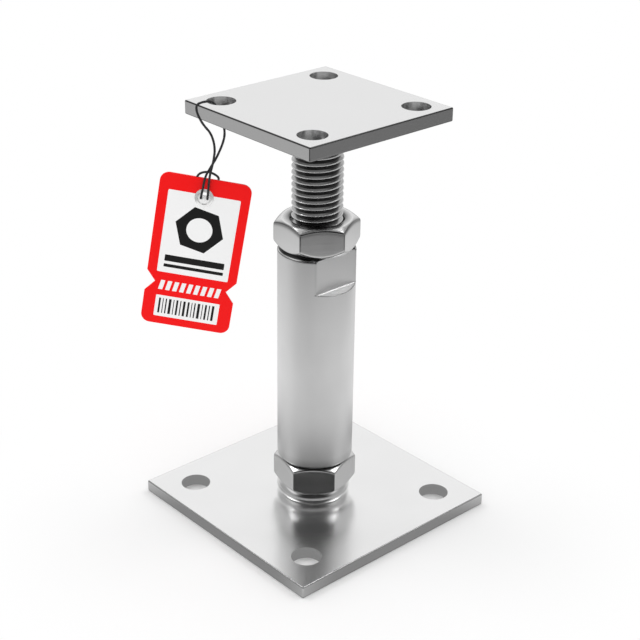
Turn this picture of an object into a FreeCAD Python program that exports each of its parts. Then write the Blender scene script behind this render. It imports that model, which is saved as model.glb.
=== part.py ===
import FreeCAD, Part
import math
import os
import Sketcher

# An adjustable steel post base. Two plates carry threaded rods that screw into a common sleeve,
# and a lock nut holds each end of the sleeve. A hang tag is tied to the head plate.
# Millimetres, +Z up, origin at the middle of the base plate's underside.

SIZES = {
    # base plate
    "base_side": 120,
    "base_thickness": 6,
    "base_hole_diameter": 14.5,
    "base_hole_inset": 17.5,
    # head plate
    "head_side": 85,
    "head_thickness": 6.5,
    "head_hole_diameter": 13.5,
    "head_hole_inset": 11.75,
    # both plates
    "plate_edge_radius": 0.7,
    # thread M24, as plain cylinders at the crest diameter
    "thread_diameter": 24,
    "thread_clearance": 0.05,
    "rod_tip_chamfer": 2,
    "lower_engagement": 41,
    "upper_engagement": 50,
    "exposed_rod": 47.5,
    # convex weld round the foot of the lower stud
    "weld_height": 6.7,
    "weld_foot_width": 5.2,
    "weld_top_width": 4.8,
    "weld_bulge_radius": 4.6,
    # lock nuts
    "nut_flats": 35.5,
    "nut_corners": 40.4,
    "nut_height": 14,
    "nut_face_diameter": 34.4,
    "nut_corner_drop": 1.75,
    "upper_nut_seat_drop": 3,
    "nut_countersink_diameter": 26.5,
    "nut_countersink_depth": 1.6,
    "lower_nut_gap": 0.3,
    "lower_nut_turn": 17.6,
    "upper_nut_turn": 26,
    # sleeve
    "sleeve_diameter": 37,
    "sleeve_length": 112,
    "sleeve_edge_chamfer": 1.5,
    "sleeve_mouth_chamfer": 1,
    "sleeve_flats": 27,
    "sleeve_flat_height": 18,
    "sleeve_flat_runout": 0.8,
    # hang tag, which hangs from its eyelet
    "tag_width": 42,
    "tag_height": 76,
    "tag_thickness": 0.8,
    "tag_corner_radius": 4.3,
    "tag_eyelet_drop": 9.5,
    "tag_notch_drop": 54.5,
    "tag_notch_half_height": 5.4,
    "tag_notch_depth": 4.4,
    "tag_facing": 48,
    "tag_tilt": 9.6,
    "tag_eyelet_across": -30.3,
    "tag_eyelet_forward": -41.9,
    "tag_eyelet_level": 163.7,
    # eyelet
    "eyelet_barrel_diameter": 6.4,
    "eyelet_wall": 0.5,
    "eyelet_flange_diameter": 8.7,
    "eyelet_flange_height": 0.5,
    "eyelet_rim_thickness": 0.2,
    "eyelet_clearance": 0.05,
    # cord
    "cord_diameter": 1.1,
}

# Levels up the axis, each as an expression on the sheet.
WELD_FOOT = "sizes.base_thickness"
LOWER_NUT_FOOT = WELD_FOOT + " + sizes.weld_height + sizes.lower_nut_gap"
SLEEVE_FOOT = LOWER_NUT_FOOT + " + sizes.nut_height"
SLEEVE_TOP = SLEEVE_FOOT + " + sizes.sleeve_length"
UPPER_ROD_FOOT = SLEEVE_TOP + " - sizes.upper_engagement"
HEAD_UNDERSIDE = SLEEVE_TOP + " + sizes.nut_height + sizes.exposed_rod"
LOWER_STUD_LENGTH = "sizes.weld_height + sizes.lower_nut_gap + sizes.nut_height + sizes.lower_engagement"
UPPER_ROD_LENGTH = "sizes.upper_engagement + sizes.nut_height + sizes.exposed_rod"

THREAD_RADIUS = "sizes.thread_diameter / 2"
BORE_RADIUS = "sizes.thread_diameter / 2 + sizes.thread_clearance"

# The cord is one loop: out of the head plate's hole, over its edge, through the eyelet and back
# over the tag's top edge, through the eyelet again and up into the hole.
CORD_ROUTE = [
    (-27.7, -35.1, 203.8),
    (-28.7, -35.7, 207.4),
    (-30.7, -37.6, 208.2),
    (-31.8, -40.5, 208.1),
    (-32.0, -43.7, 207.5),
    (-31.3, -44.2, 204.7),
    (-29.5, -44.0, 201.8),
    (-27.4, -43.1, 198.7),
    (-26.2, -40.8, 195.6),
    (-25.3, -39.6, 191.4),
    (-25.0, -39.3, 187.1),
    (-25.3, -39.8, 183.2),
    (-25.9, -40.3, 179.6),
    (-26.9, -40.7, 176.4),
    (-27.5, -41.0, 172.6),
    (-27.4, -41.6, 168.6),
    (-27.4, -42.1, 165.6),
    (-27.9, -42.0, 163.6),
    (-29.3, -40.8, 163.2),
    (-30.7, -39.5, 163.6),
    (-30.3, -38.5, 165.7),
    (-28.6, -37.2, 168.2),
    (-27.4, -36.0, 171.3),
    (-25.8, -36.7, 174.3),
    (-25.1, -39.1, 176.4),
    (-26.3, -42.3, 177.8),
    (-29.6, -44.1, 177.6),
    (-32.4, -44.1, 176.0),
    (-34.0, -43.3, 173.0),
    (-33.6, -42.8, 169.5),
    (-33.2, -41.7, 166.4),
    (-32.6, -41.6, 164.1),
    (-31.3, -43.0, 163.6),
    (-29.8, -44.2, 164.1),
    (-29.3, -44.2, 166.1),
    (-29.0, -43.5, 169.0),
    (-29.0, -42.6, 172.4),
    (-28.7, -41.6, 175.3),
    (-28.0, -40.4, 177.5),
    (-27.1, -39.2, 180.0),
    (-25.9, -37.9, 183.0),
    (-24.9, -36.8, 186.2),
    (-23.9, -35.7, 189.8),
    (-23.2, -34.9, 193.9),
    (-24.2, -34.6, 198.0),
    (-26.7, -34.5, 200.2),
    (-27.7, -35.1, 203.7),
]
ARC_SHARE_OF_RUN = 0.45

# How a sketch numbers a curve's start, end and centre.
START, END, CENTRE = range(1, 4)

doc = FreeCAD.newDocument("post_base")
sheet = doc.addObject("Spreadsheet::Sheet", "sizes")
for row, (name, value) in enumerate(SIZES.items(), start=1):
    sheet.set(f"A{row}", name)
    sheet.set(f"B{row}", str(value))
    sheet.setAlias(f"B{row}", name)
doc.recompute()

sub_parts = []


# ---------------------------------------------------------------- sketches


def number(expression):
    """The value that an expression on the sheet has now."""
    return float(sheet.evalExpression(expression))


def bind(sketch, kind, references, expression, name):
    """A dimension of a sketch that follows an expression on the sheet."""
    index = sketch.addConstraint(Sketcher.Constraint(kind, *references, number(expression)))
    sketch.renameConstraint(index, name)
    sketch.setExpression(f"Constraints.{name}", expression)


def place_point(sketch, geometry, position, x, y, name):
    """Holds a point at (x, y), which are expressions; "0" keeps it on the axis."""
    horizontal_axis, vertical_axis = -1, -2
    origin = (horizontal_axis, START)
    for kind, expression, axis in (("DistanceX", x, vertical_axis), ("DistanceY", y, horizontal_axis)):
        if expression == "0":
            sketch.addConstraint(Sketcher.Constraint("PointOnObject", geometry, position, axis))
        else:
            bind(sketch, kind, (*origin, geometry, position), expression, name + kind[-1])


def outward_arc(start, end, radius):
    """The short arc from start to end that bulges outwards from a counterclockwise outline."""
    chord = end - start
    half = chord.Length / 2
    outwards = FreeCAD.Vector(chord.y, -chord.x, 0).normalize()
    centre = (start + end) / 2 - outwards * math.sqrt(max(radius**2 - half**2, 0))
    first = math.atan2(start.y - centre.y, start.x - centre.x)
    last = math.atan2(end.y - centre.y, end.x - centre.x)
    circle = Part.Circle(centre, FreeCAD.Vector(0, 0, 1), radius)
    return Part.ArcOfCircle(circle, first, last)


def add_outline(sketch, points):
    """A closed counterclockwise outline. A point is (x, y), or (x, y, radius) where an arc starts there."""
    corners = [FreeCAD.Vector(number(p[0]), number(p[1]), 0) for p in points]
    for i, point in enumerate(points):
        start, end = corners[i], corners[(i + 1) % len(points)]
        if len(point) == 3:
            sketch.addGeometry(outward_arc(start, end, number(point[2])))
        else:
            sketch.addGeometry(Part.LineSegment(start, end))
    for i, point in enumerate(points):
        sketch.addConstraint(Sketcher.Constraint("Coincident", i, END, (i + 1) % len(points), START))
        place_point(sketch, i, START, point[0], point[1], f"p{i}")
        if len(point) == 3:
            bind(sketch, "Radius", (i,), point[2], f"r{i}")


def add_circle(sketch, x, y, diameter):
    """A circle whose centre and diameter are expressions."""
    centre = FreeCAD.Vector(number(x), number(y), 0)
    circle = Part.Circle(centre, FreeCAD.Vector(0, 0, 1), number(diameter) / 2)
    index = sketch.addGeometry(circle)
    bind(sketch, "Diameter", (index,), diameter, f"diameter{index}")
    place_point(sketch, index, CENTRE, x, y, f"centre{index}")


# ---------------------------------------------------------------- features


def new_body(label):
    """A PartDesign body for one sub-part. Its label names its file."""
    body = doc.addObject("PartDesign::Body", label)
    body.Label = label
    sub_parts.append(body)
    return body


def origin_feature(body, role):
    """One of the planes or axes of a body's own origin."""
    return [f for f in body.Origin.OriginFeatures if f.Role == role][0]


def new_sketch(body, name, role):
    """An empty sketch on one of the body's origin planes."""
    sketch = body.newObject("Sketcher::SketchObject", name)
    sketch.AttachmentSupport = [(origin_feature(body, role), "")]
    sketch.MapMode = "FlatFace"
    return sketch


def pad(body, sketch, length, midplane=False):
    feature = body.newObject("PartDesign::Pad", sketch.Name + "_pad")
    feature.Profile = sketch
    feature.Midplane = midplane
    feature.setExpression("Length", length)
    doc.recompute()
    return feature


def revolve(body, sketch):
    """Turns a profile in the XZ plane round the Z axis."""
    feature = body.newObject("PartDesign::Revolution", sketch.Name + "_revolution")
    feature.Profile = sketch
    feature.ReferenceAxis = (sketch, ["V_Axis"])
    feature.Angle = 360
    doc.recompute()
    return feature


def cut_through(body, sketch):
    """Cuts a profile right through the body, both ways from its plane."""
    before = body.Shape.Volume
    feature = body.newObject("PartDesign::Pocket", sketch.Name + "_pocket")
    feature.Profile = sketch
    feature.Type = "ThroughAll"
    feature.Midplane = True
    doc.recompute()
    if body.Shape.Volume > before - 1e-3:
        raise RuntimeError(f"{feature.Name} removed nothing from {body.Label}")
    return feature


def repeat_round(body, feature, count):
    """Repeats a feature evenly round the Z axis, and makes the pattern the body's tip."""
    pattern = body.newObject("PartDesign::PolarPattern", feature.Name + "_pattern")
    pattern.Originals = [feature]
    pattern.Axis = (origin_feature(body, "Z_Axis"), [""])
    pattern.Angle = 360
    pattern.Occurrences = count
    body.Tip = pattern
    doc.recompute()
    return pattern


def round_edges(body, base, radius):
    """A fillet on every edge of the feature before it."""
    feature = body.newObject("PartDesign::Fillet", body.Name + "_edges")
    feature.Base = (base, [f"Edge{i}" for i in range(1, len(base.Shape.Edges) + 1)])
    feature.setExpression("Radius", radius)
    doc.recompute()
    return feature


def lift(body, level):
    """Puts a body's own origin at a level up the axis."""
    body.setExpression("Placement.Base.z", level)


# ---------------------------------------------------------------- steel parts


def make_plate(label, side, thickness, hole_diameter, hole_inset, level):
    """A square plate with all its edges tumbled round, and a bolt hole drilled near each corner."""
    body = new_body(label)
    half = f"{side} / 2"
    outline = new_sketch(body, label + "_outline", "XY_Plane")
    corners = [(f"-{half}", f"-{half}"), (half, f"-{half}"), (half, half), (f"-{half}", half)]
    add_outline(outline, corners)
    round_edges(body, pad(body, outline, thickness), "sizes.plate_edge_radius")
    hole = new_sketch(body, label + "_hole", "XY_Plane")
    centre = f"{side} / 2 - {hole_inset}"
    add_circle(hole, centre, centre, hole_diameter)
    repeat_round(body, cut_through(body, hole), 4)
    lift(body, level)


def make_rod(label, length, level, tip_up):
    """A threaded rod: square at the end that is welded to its plate, chamfered at its tip."""
    body = new_body(label)
    tip_radius = f"{THREAD_RADIUS} - sizes.rod_tip_chamfer"
    if tip_up:
        profile = [
            ("0", "0"),
            (THREAD_RADIUS, "0"),
            (THREAD_RADIUS, f"{length} - sizes.rod_tip_chamfer"),
            (tip_radius, length),
            ("0", length),
        ]
    else:
        profile = [
            ("0", "0"),
            (tip_radius, "0"),
            (THREAD_RADIUS, "sizes.rod_tip_chamfer"),
            (THREAD_RADIUS, length),
            ("0", length),
        ]
    sketch = new_sketch(body, label + "_profile", "XZ_Plane")
    add_outline(sketch, profile)
    revolve(body, sketch)
    lift(body, level)


def make_weld(label):
    """The convex bead that joins the lower stud to the base plate."""
    body = new_body(label)
    foot = f"{THREAD_RADIUS} + sizes.weld_foot_width"
    top = f"{THREAD_RADIUS} + sizes.weld_top_width"
    sketch = new_sketch(body, label + "_profile", "XZ_Plane")
    profile = [
        (THREAD_RADIUS, "0"),
        (foot, "0", "sizes.weld_bulge_radius"),
        (top, "sizes.weld_height"),
        (THREAD_RADIUS, "sizes.weld_height"),
    ]
    add_outline(sketch, profile)
    revolve(body, sketch)
    lift(body, WELD_FOOT)


def make_nut(label, level, turn, lower_drop="sizes.nut_corner_drop"):
    """A thin hexagon nut: a turned blank with chamfered corners and countersunk bore, and six flats."""
    body = new_body(label)
    mouth = "sizes.nut_countersink_diameter / 2"
    face = "sizes.nut_face_diameter / 2"
    corner = "sizes.nut_corners / 2"
    top = "sizes.nut_height"
    profile = [
        (BORE_RADIUS, "sizes.nut_countersink_depth"),
        (mouth, "0"),
        (face, "0"),
        (corner, lower_drop),
        (corner, f"{top} - sizes.nut_corner_drop"),
        (face, top),
        (mouth, top),
        (BORE_RADIUS, f"{top} - sizes.nut_countersink_depth"),
    ]
    sketch = new_sketch(body, label + "_profile", "XZ_Plane")
    add_outline(sketch, profile)
    revolve(body, sketch)
    flat = new_sketch(body, label + "_flat", "XY_Plane")
    near, far = "sizes.nut_flats / 2", "sizes.nut_corners"
    add_outline(flat, [(near, f"-{far}"), (far, f"-{far}"), (far, far), (near, far)])
    repeat_round(body, cut_through(body, flat), 6)
    body.Placement = FreeCAD.Placement(
        FreeCAD.Vector(0, 0, number(level)), FreeCAD.Rotation(FreeCAD.Vector(0, 0, 1), number(turn))
    )
    lift(body, level)
    body.setExpression("Placement.Rotation.Angle", turn)


def make_sleeve(label):
    """The threaded sleeve, with a pair of wrench flats milled at its upper end."""
    body = new_body(label)
    outside = "sizes.sleeve_diameter / 2"
    edge = f"{outside} - sizes.sleeve_edge_chamfer"
    mouth = f"{BORE_RADIUS} + sizes.sleeve_mouth_chamfer"
    top = "sizes.sleeve_length"
    profile = [
        (BORE_RADIUS, "sizes.sleeve_mouth_chamfer"),
        (mouth, "0"),
        (edge, "0"),
        (outside, "sizes.sleeve_edge_chamfer"),
        (outside, f"{top} - sizes.sleeve_edge_chamfer"),
        (edge, top),
        (mouth, top),
        (BORE_RADIUS, f"{top} - sizes.sleeve_mouth_chamfer"),
    ]
    sketch = new_sketch(body, label + "_profile", "XZ_Plane")
    add_outline(sketch, profile)
    revolve(body, sketch)
    flat = new_sketch(body, label + "_flat", "XZ_Plane")
    near, far = "sizes.sleeve_flats / 2", "sizes.sleeve_diameter"
    ledge = f"{top} - sizes.sleeve_flat_height"
    run = f"({far} - {near}) / ({outside} - {near})"
    foot = f"{ledge} - sizes.sleeve_flat_runout * {run}"
    above = f"{top} + sizes.sleeve_edge_chamfer"
    add_outline(flat, [(near, ledge), (far, foot), (far, above), (near, above)])
    repeat_round(body, cut_through(body, flat), 2)
    lift(body, SLEEVE_FOOT)


# ---------------------------------------------------------------- hang tag


def hang(body):
    """Puts a piece of the tag at the eyelet's centre: X across the tag, Y up it, Z out of its face."""
    facing = FreeCAD.Rotation(FreeCAD.Vector(0, 0, 1), number("sizes.tag_facing"))
    upright = FreeCAD.Rotation(FreeCAD.Vector(1, 0, 0), 90)
    tilt = FreeCAD.Rotation(FreeCAD.Vector(0, 0, 1), -number("sizes.tag_tilt"))
    place = [number("sizes.tag_eyelet_" + way) for way in ("across", "forward", "level")]
    body.Placement = FreeCAD.Placement(FreeCAD.Vector(*place), facing * upright * tilt)


def make_tag_card(label):
    """A card with rounded corners, a notch in each side and a hole for the eyelet."""
    body = new_body(label)
    side = "sizes.tag_width / 2"
    round_x = f"({side} - sizes.tag_corner_radius)"
    notch_x = f"({side} - sizes.tag_notch_depth)"
    top = "sizes.tag_eyelet_drop"
    bottom = f"{top} - sizes.tag_height"
    radius = "sizes.tag_corner_radius"
    notch = f"{top} - sizes.tag_notch_drop"
    half = "sizes.tag_notch_half_height"
    right = [
        (round_x, bottom, radius),
        (side, f"{bottom} + {radius}"),
        (side, f"{notch} - {half}"),
        (notch_x, notch),
        (side, f"{notch} + {half}"),
        (side, f"{top} - {radius}", radius),
        (round_x, top),
    ]
    left = [
        (f"-{round_x}", top, radius),
        (f"-{side}", f"{top} - {radius}"),
        (f"-{side}", f"{notch} + {half}"),
        (f"-{notch_x}", notch),
        (f"-{side}", f"{notch} - {half}"),
        (f"-{side}", f"{bottom} + {radius}", radius),
        (f"-{round_x}", bottom),
    ]
    outline = new_sketch(body, label + "_outline", "XY_Plane")
    add_outline(outline, right + left)
    pad(body, outline, "sizes.tag_thickness", midplane=True)
    hole = new_sketch(body, label + "_hole", "XY_Plane")
    add_circle(hole, "0", "0", "sizes.eyelet_barrel_diameter + 2 * sizes.eyelet_clearance")
    cut_through(body, hole)
    hang(body)


def make_tag_eyelet(label):
    """A rolled metal eyelet: a barrel through the card with a coned flange on each face."""
    body = new_body(label)
    barrel = "sizes.eyelet_barrel_diameter / 2"
    inner = f"{barrel} - sizes.eyelet_wall"
    rim = "sizes.eyelet_flange_diameter / 2"
    seat = "sizes.tag_thickness / 2"
    edge = f"{seat} + sizes.eyelet_rim_thickness"
    crest = f"{seat} + sizes.eyelet_flange_height"
    lip = f"{inner} + sizes.eyelet_flange_height"
    profile = [
        (inner, f"-{seat}"),
        (lip, f"-({crest})"),
        (rim, f"-({edge})"),
        (rim, f"-{seat}"),
        (barrel, f"-{seat}"),
        (barrel, seat),
        (rim, seat),
        (rim, edge),
        (lip, crest),
        (inner, seat),
    ]
    sketch = new_sketch(body, label + "_profile", "XZ_Plane")
    add_outline(sketch, profile)
    revolve(body, sketch)
    hang(body)


def rounded_path(points):
    """Straight runs joined by tangent arcs, each as large as its two runs allow, and the radii."""
    edges, radii = [], []
    start = points[0]
    for before, corner, after in zip(points, points[1:], points[2:]):
        inwards, onwards = corner - before, after - corner
        turn = inwards.getAngle(onwards)
        reach = ARC_SHARE_OF_RUN * min(inwards.Length, onwards.Length)
        first = corner - FreeCAD.Vector(inwards).normalize() * reach
        last = corner + FreeCAD.Vector(onwards).normalize() * reach
        radius = reach / math.tan(turn / 2)
        centre_way = (first + last) / 2 - corner
        depth = radius / math.cos(turn / 2) - radius
        middle = corner + centre_way.normalize() * depth
        edges += [Part.LineSegment(start, first).toShape(), Part.Arc(first, middle, last).toShape()]
        radii.append(radius)
        start = last
    edges.append(Part.LineSegment(start, points[-1]).toShape())
    return Part.Wire(edges), radii


def make_tag_cord(label):
    """The cord as a plain tube along its route."""
    points = [FreeCAD.Vector(*p) for p in CORD_ROUTE]
    path, radii = rounded_path(points)
    cord_radius = number("sizes.cord_diameter / 2")
    section = Part.Wire(Part.makeCircle(cord_radius, points[0], points[1] - points[0]))
    tube = path.makePipeShell([section], True, False)
    feature = doc.addObject("Part::Feature", label)
    feature.Label = label
    feature.Shape = tube
    feature.Placement = FreeCAD.Placement()
    sub_parts.append(feature)
    expected = math.pi * cord_radius**2 * path.Length
    print(f"{label}: length {path.Length:.1f} mm, radii from {min(radii):.1f} to {max(radii):.1f} mm")
    if abs(tube.Volume / expected - 1) > 0.01:
        raise RuntimeError(f"{label} has volume {tube.Volume:.2f}, and its path gives {expected:.2f}")


# ---------------------------------------------------------------- the post base

make_plate(
    "base_plate",
    "sizes.base_side",
    "sizes.base_thickness",
    "sizes.base_hole_diameter",
    "sizes.base_hole_inset",
    "0",
)
make_rod("lower_stud", LOWER_STUD_LENGTH, WELD_FOOT, tip_up=True)
make_weld("stud_weld")
make_nut("lower_lock_nut", LOWER_NUT_FOOT, "sizes.lower_nut_turn")
make_sleeve("adjusting_sleeve")
make_nut("upper_lock_nut", SLEEVE_TOP, "sizes.upper_nut_turn", lower_drop="sizes.upper_nut_seat_drop")
make_rod("upper_rod", UPPER_ROD_LENGTH, UPPER_ROD_FOOT, tip_up=False)
make_plate(
    "head_plate",
    "sizes.head_side",
    "sizes.head_thickness",
    "sizes.head_hole_diameter",
    "sizes.head_hole_inset",
    HEAD_UNDERSIDE,
)
make_tag_card("tag_card")
make_tag_eyelet("tag_eyelet")
make_tag_cord("tag_cord")
doc.recompute()

for item in doc.Objects:
    if "Invalid" in item.State or "Error" in item.State:
        raise RuntimeError(f"{item.Name} failed: {item.State}")
for part in sub_parts:
    if part.Shape.isNull() or not part.Shape.isValid() or len(part.Shape.Solids) != 1:
        raise RuntimeError(f"{part.Label} is not one valid solid")

os.makedirs("parts", exist_ok=True)
for part in sub_parts:
    part.Shape.exportStep(f"parts/{part.Label}.step")
    box = part.Shape.BoundBox
    print(f"{part.Label}: {part.Shape.Volume:.0f} mm3, z {box.ZMin:.2f} to {box.ZMax:.2f}")
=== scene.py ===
# %% [markdown]
# # An adjustable post base in polished steel
# A post base carries a timber post clear of a concrete footing. This one is two square plates, two threaded
# rods, a sleeve that joins the rods and a lock nut at each end of the sleeve. A red hang tag is tied to it.
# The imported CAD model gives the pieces, their places and their main sizes. This lesson adds what CAD leaves
# out: real threads, softened edges, an uneven weld, the print on the tag, the cord's own line, and the finish
# of each surface.

# %% Load the frame
import math

import bmesh
import bpy
import numpy as np
from mathutils import Euler, Matrix, Vector


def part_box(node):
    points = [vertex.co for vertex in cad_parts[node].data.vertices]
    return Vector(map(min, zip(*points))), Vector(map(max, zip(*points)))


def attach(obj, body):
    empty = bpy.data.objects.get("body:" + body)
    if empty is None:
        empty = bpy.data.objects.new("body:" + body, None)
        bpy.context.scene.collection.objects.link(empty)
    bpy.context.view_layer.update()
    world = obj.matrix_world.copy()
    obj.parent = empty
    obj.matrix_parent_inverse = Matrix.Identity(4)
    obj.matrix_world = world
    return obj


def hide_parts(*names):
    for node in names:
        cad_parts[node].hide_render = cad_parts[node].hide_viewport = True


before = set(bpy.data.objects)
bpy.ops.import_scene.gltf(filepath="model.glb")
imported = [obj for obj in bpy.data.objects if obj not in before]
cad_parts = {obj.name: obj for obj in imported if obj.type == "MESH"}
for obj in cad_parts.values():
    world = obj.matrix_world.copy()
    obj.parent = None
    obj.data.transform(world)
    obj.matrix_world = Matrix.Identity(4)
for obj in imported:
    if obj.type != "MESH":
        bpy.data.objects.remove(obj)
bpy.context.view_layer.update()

# %% [markdown]
# ## Units and heights
# Blender works in metres, and machinists in millimetres, so one name turns the second into the first. The
# heights and the round widths of the pieces are read from the boxes of the CAD nodes, so they stay true to
# the model.

# %% Units and heights
MM = 0.001


def bottom_of(node):
    """Lowest height of a CAD node."""
    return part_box(node)[0][2]


def top_of(node):
    """Highest height of a CAD node."""
    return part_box(node)[1][2]


def radius_of(node):
    """Half of a round CAD node's width."""
    low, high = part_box(node)
    return (high[0] - low[0]) / 2


print(f"sleeve: {bottom_of('adjusting_sleeve') / MM:.1f} to {top_of('adjusting_sleeve') / MM:.1f} mm")

# %% [markdown]
# ## The camera
# A product view: a long lens, a little over two thirds of a metre away, looking down from the front right.
# The camera's place is worked out from two angles and a distance round a point close to the object's axis,
# and a slight roll stands the axis upright in the frame.

# %% The camera
CAMERA_AZIMUTH = math.radians(47.92)
CAMERA_ELEVATION = math.radians(25.97)
CAMERA_ROLL = math.radians(0.72)
CAMERA_DISTANCE = 687.54 * MM
CAMERA_TARGET = Vector((3.89 * MM, -0.97 * MM, 101.63 * MM))
LENS_MM = 81.52
SENSOR_WIDTH_MM = 36
NEAREST_SEEN = 0.01


def camera_axes(azimuth, elevation, roll):
    """Right, up and backward directions of a camera that looks at the target from these angles."""
    backward = Vector((
        math.sin(azimuth) * math.cos(elevation),
        -math.cos(azimuth) * math.cos(elevation),
        math.sin(elevation),
    ))
    right = Vector((math.cos(azimuth), math.sin(azimuth), 0))
    up = backward.cross(right)
    rolled_right = right * math.cos(roll) + up * math.sin(roll)
    rolled_up = up * math.cos(roll) - right * math.sin(roll)
    return rolled_right, rolled_up, backward


right, up, backward = camera_axes(CAMERA_AZIMUTH, CAMERA_ELEVATION, CAMERA_ROLL)
camera_data = bpy.data.cameras.new("camera")
camera_data.lens = LENS_MM
camera_data.sensor_width = SENSOR_WIDTH_MM
camera_data.clip_start = NEAREST_SEEN
camera = bpy.data.objects.new("camera", camera_data)
bpy.context.collection.objects.link(camera)
turn = Matrix((right, up, backward)).transposed().to_4x4()
camera.matrix_world = Matrix.Translation(CAMERA_TARGET + backward * CAMERA_DISTANCE) @ turn
bpy.context.scene.camera = camera
print("camera at", [round(v, 3) for v in camera.matrix_world.translation])

# %% [markdown]
# ## The tag's cord
# A thin braided cord goes up through a bolt hole of the head plate, over the plate's edge and down through
# the tag's eyelet. It arches back over the tag's top edge, goes through the eyelet once more and climbs back
# to the hole. A poly line would have corners, and a Bezier curve needs two handles for each point. A NURBS
# curve bends smoothly between its control points, as a limp cord does, so the route is a plain list of given
# points. The order and the end setting come after the points, or Blender forgets them.

# %% The cord's route
CORD_DIAMETER = 1.1 * MM
CORD_CURVE_ORDER = 3
CORD_CURVE_STEPS = 16
CORD_ROUTE_MM = [
    (-27.7, -35.1, 203.8), (-28.7, -35.7, 207.4), (-30.7, -37.6, 208.2), (-31.8, -40.5, 208.1),
    (-32.0, -43.7, 207.5), (-31.3, -44.2, 204.7), (-29.5, -44.0, 201.8), (-27.4, -43.1, 198.7),
    (-26.2, -40.8, 195.6), (-25.3, -39.6, 191.4), (-25.0, -39.3, 187.1), (-25.3, -39.8, 183.2),
    (-25.9, -40.3, 179.6), (-26.9, -40.7, 176.4), (-27.5, -41.0, 172.6), (-27.4, -41.6, 168.6),
    (-27.4, -42.1, 165.6), (-27.9, -42.0, 163.6), (-29.3, -40.8, 163.2), (-30.7, -39.5, 163.6),
    (-30.3, -38.5, 165.7), (-28.6, -37.2, 168.2), (-27.4, -36.0, 171.3), (-25.6, -36.8, 173.3),
    (-25.1, -39.1, 175.6), (-26.3, -42.3, 177.5), (-29.6, -44.1, 176.5), (-32.4, -44.1, 174.0),
    (-34.0, -43.3, 171.2), (-33.6, -42.8, 168.8), (-33.2, -41.7, 166.4), (-32.6, -41.6, 164.1),
    (-31.3, -43.0, 163.6), (-29.8, -44.2, 164.1), (-29.3, -44.2, 166.1), (-29.0, -43.5, 169.0),
    (-29.0, -42.6, 172.4), (-28.7, -41.6, 175.3), (-28.0, -40.4, 177.5), (-27.1, -39.2, 180.0),
    (-25.9, -37.9, 183.0), (-24.9, -36.8, 186.2), (-23.9, -35.7, 189.8), (-23.2, -34.9, 193.9),
    (-24.2, -34.6, 198.0), (-26.7, -34.5, 200.2), (-27.7, -35.1, 203.7),
]


def smooth_line(route):
    """Points along the NURBS curve that has the route's points as its control points."""
    curve = bpy.data.curves.new("cord_line", "CURVE")
    curve.dimensions = "3D"
    spline = curve.splines.new("NURBS")
    spline.points.add(len(route) - 1)
    for point, place in zip(spline.points, route):
        point.co = (*place, 1)
    spline.order_u = CORD_CURVE_ORDER
    spline.use_endpoint_u = True
    spline.resolution_u = CORD_CURVE_STEPS
    carrier = bpy.data.objects.new("cord_line", curve)
    line = bpy.data.meshes.new_from_object(carrier)
    points = np.empty(len(line.vertices) * 3)
    line.vertices.foreach_get("co", points)
    bpy.data.objects.remove(carrier)
    bpy.data.curves.remove(curve)
    bpy.data.meshes.remove(line)
    return points.reshape(-1, 3)


cord_line = smooth_line([tuple(value * MM for value in point) for point in CORD_ROUTE_MM])
cord_runs = np.linalg.norm(np.diff(cord_line, axis=0), axis=1)

# %% [markdown]
# ## Surfaces on a grid
# Most of the new pieces are a sheet of points with rows and columns. The columns run round the axis and
# close on themselves, and the rows follow the outline from one end to the other. Whole arrays are worked
# out at once, and Blender gets the finished lists. A boolean cut would leave sharp edges and long thin faces,
# but here a cut is the smaller of two distances, and a soft minimum rounds the crease where they are equal.

# %% Surfaces on a grid
CREASE_POWER = 0.6


def add_piece(name, points, faces, body, smooth=True):
    """Puts points and faces into a new object that rides on a body."""
    mesh = bpy.data.meshes.new(name)
    mesh.from_pydata(np.asarray(points, dtype=float).tolist(), [], [list(face) for face in faces])
    mesh.polygons.foreach_set("use_smooth", np.full(len(mesh.polygons), smooth))
    mesh.validate()
    mesh.update()
    piece = bpy.data.objects.new(name, mesh)
    bpy.context.collection.objects.link(piece)
    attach(piece, body)
    print(f"{name}: {len(mesh.polygons)} faces")
    return piece


def ring_faces(rows, columns, closed_rows=False):
    """Four-sided faces between neighbouring rows, with the last column joined to the first."""
    row = np.arange(rows if closed_rows else rows - 1)[:, None]
    column = np.arange(columns)[None, :]
    next_row = (row + 1) % rows
    next_column = (column + 1) % columns
    corners = [
        row * columns + column, row * columns + next_column,
        next_row * columns + next_column, next_row * columns + column,
    ]
    return np.stack(np.broadcast_arrays(*corners), axis=-1).reshape(-1, 4)


def around_axis(radius, height):
    """Points at r(row, column) and z(row, column), with the columns spread evenly round the Z axis."""
    radius, height = np.broadcast_arrays(radius, height)
    angle = 2 * np.pi * np.arange(radius.shape[1]) / radius.shape[1]
    return np.stack([radius * np.cos(angle), radius * np.sin(angle), height], axis=-1).reshape(-1, 3)


def soft_minimum(values, softness):
    """-s log(sum of e^(-v / s)): the smallest of several values, its creases rounded over about s."""
    scaled = -np.stack(np.broadcast_arrays(*values)) / softness
    peak = scaled.max(axis=0)
    return -softness * (peak + np.log(np.exp(scaled - peak).sum(axis=0)))


def crease_share(values, softness):
    """c = (d / (s log 2))^0.6, with the soft minimum d below the hard one: 1 on a crease, 0 off it."""
    hard = np.stack(np.broadcast_arrays(*values)).min(axis=0)
    drop = (hard - soft_minimum(values, softness)) / (softness * math.log(2))
    return np.clip(drop, 0, 1) ** CREASE_POWER


def store_on_points(piece, name, values):
    """Keeps one number for each point of a piece, for its material to read."""
    attribute = piece.data.attributes.new(name, "FLOAT", "POINT")
    attribute.data.foreach_set("value", np.asarray(values, dtype=np.float32).ravel())


print("grid helpers ready")

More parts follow.
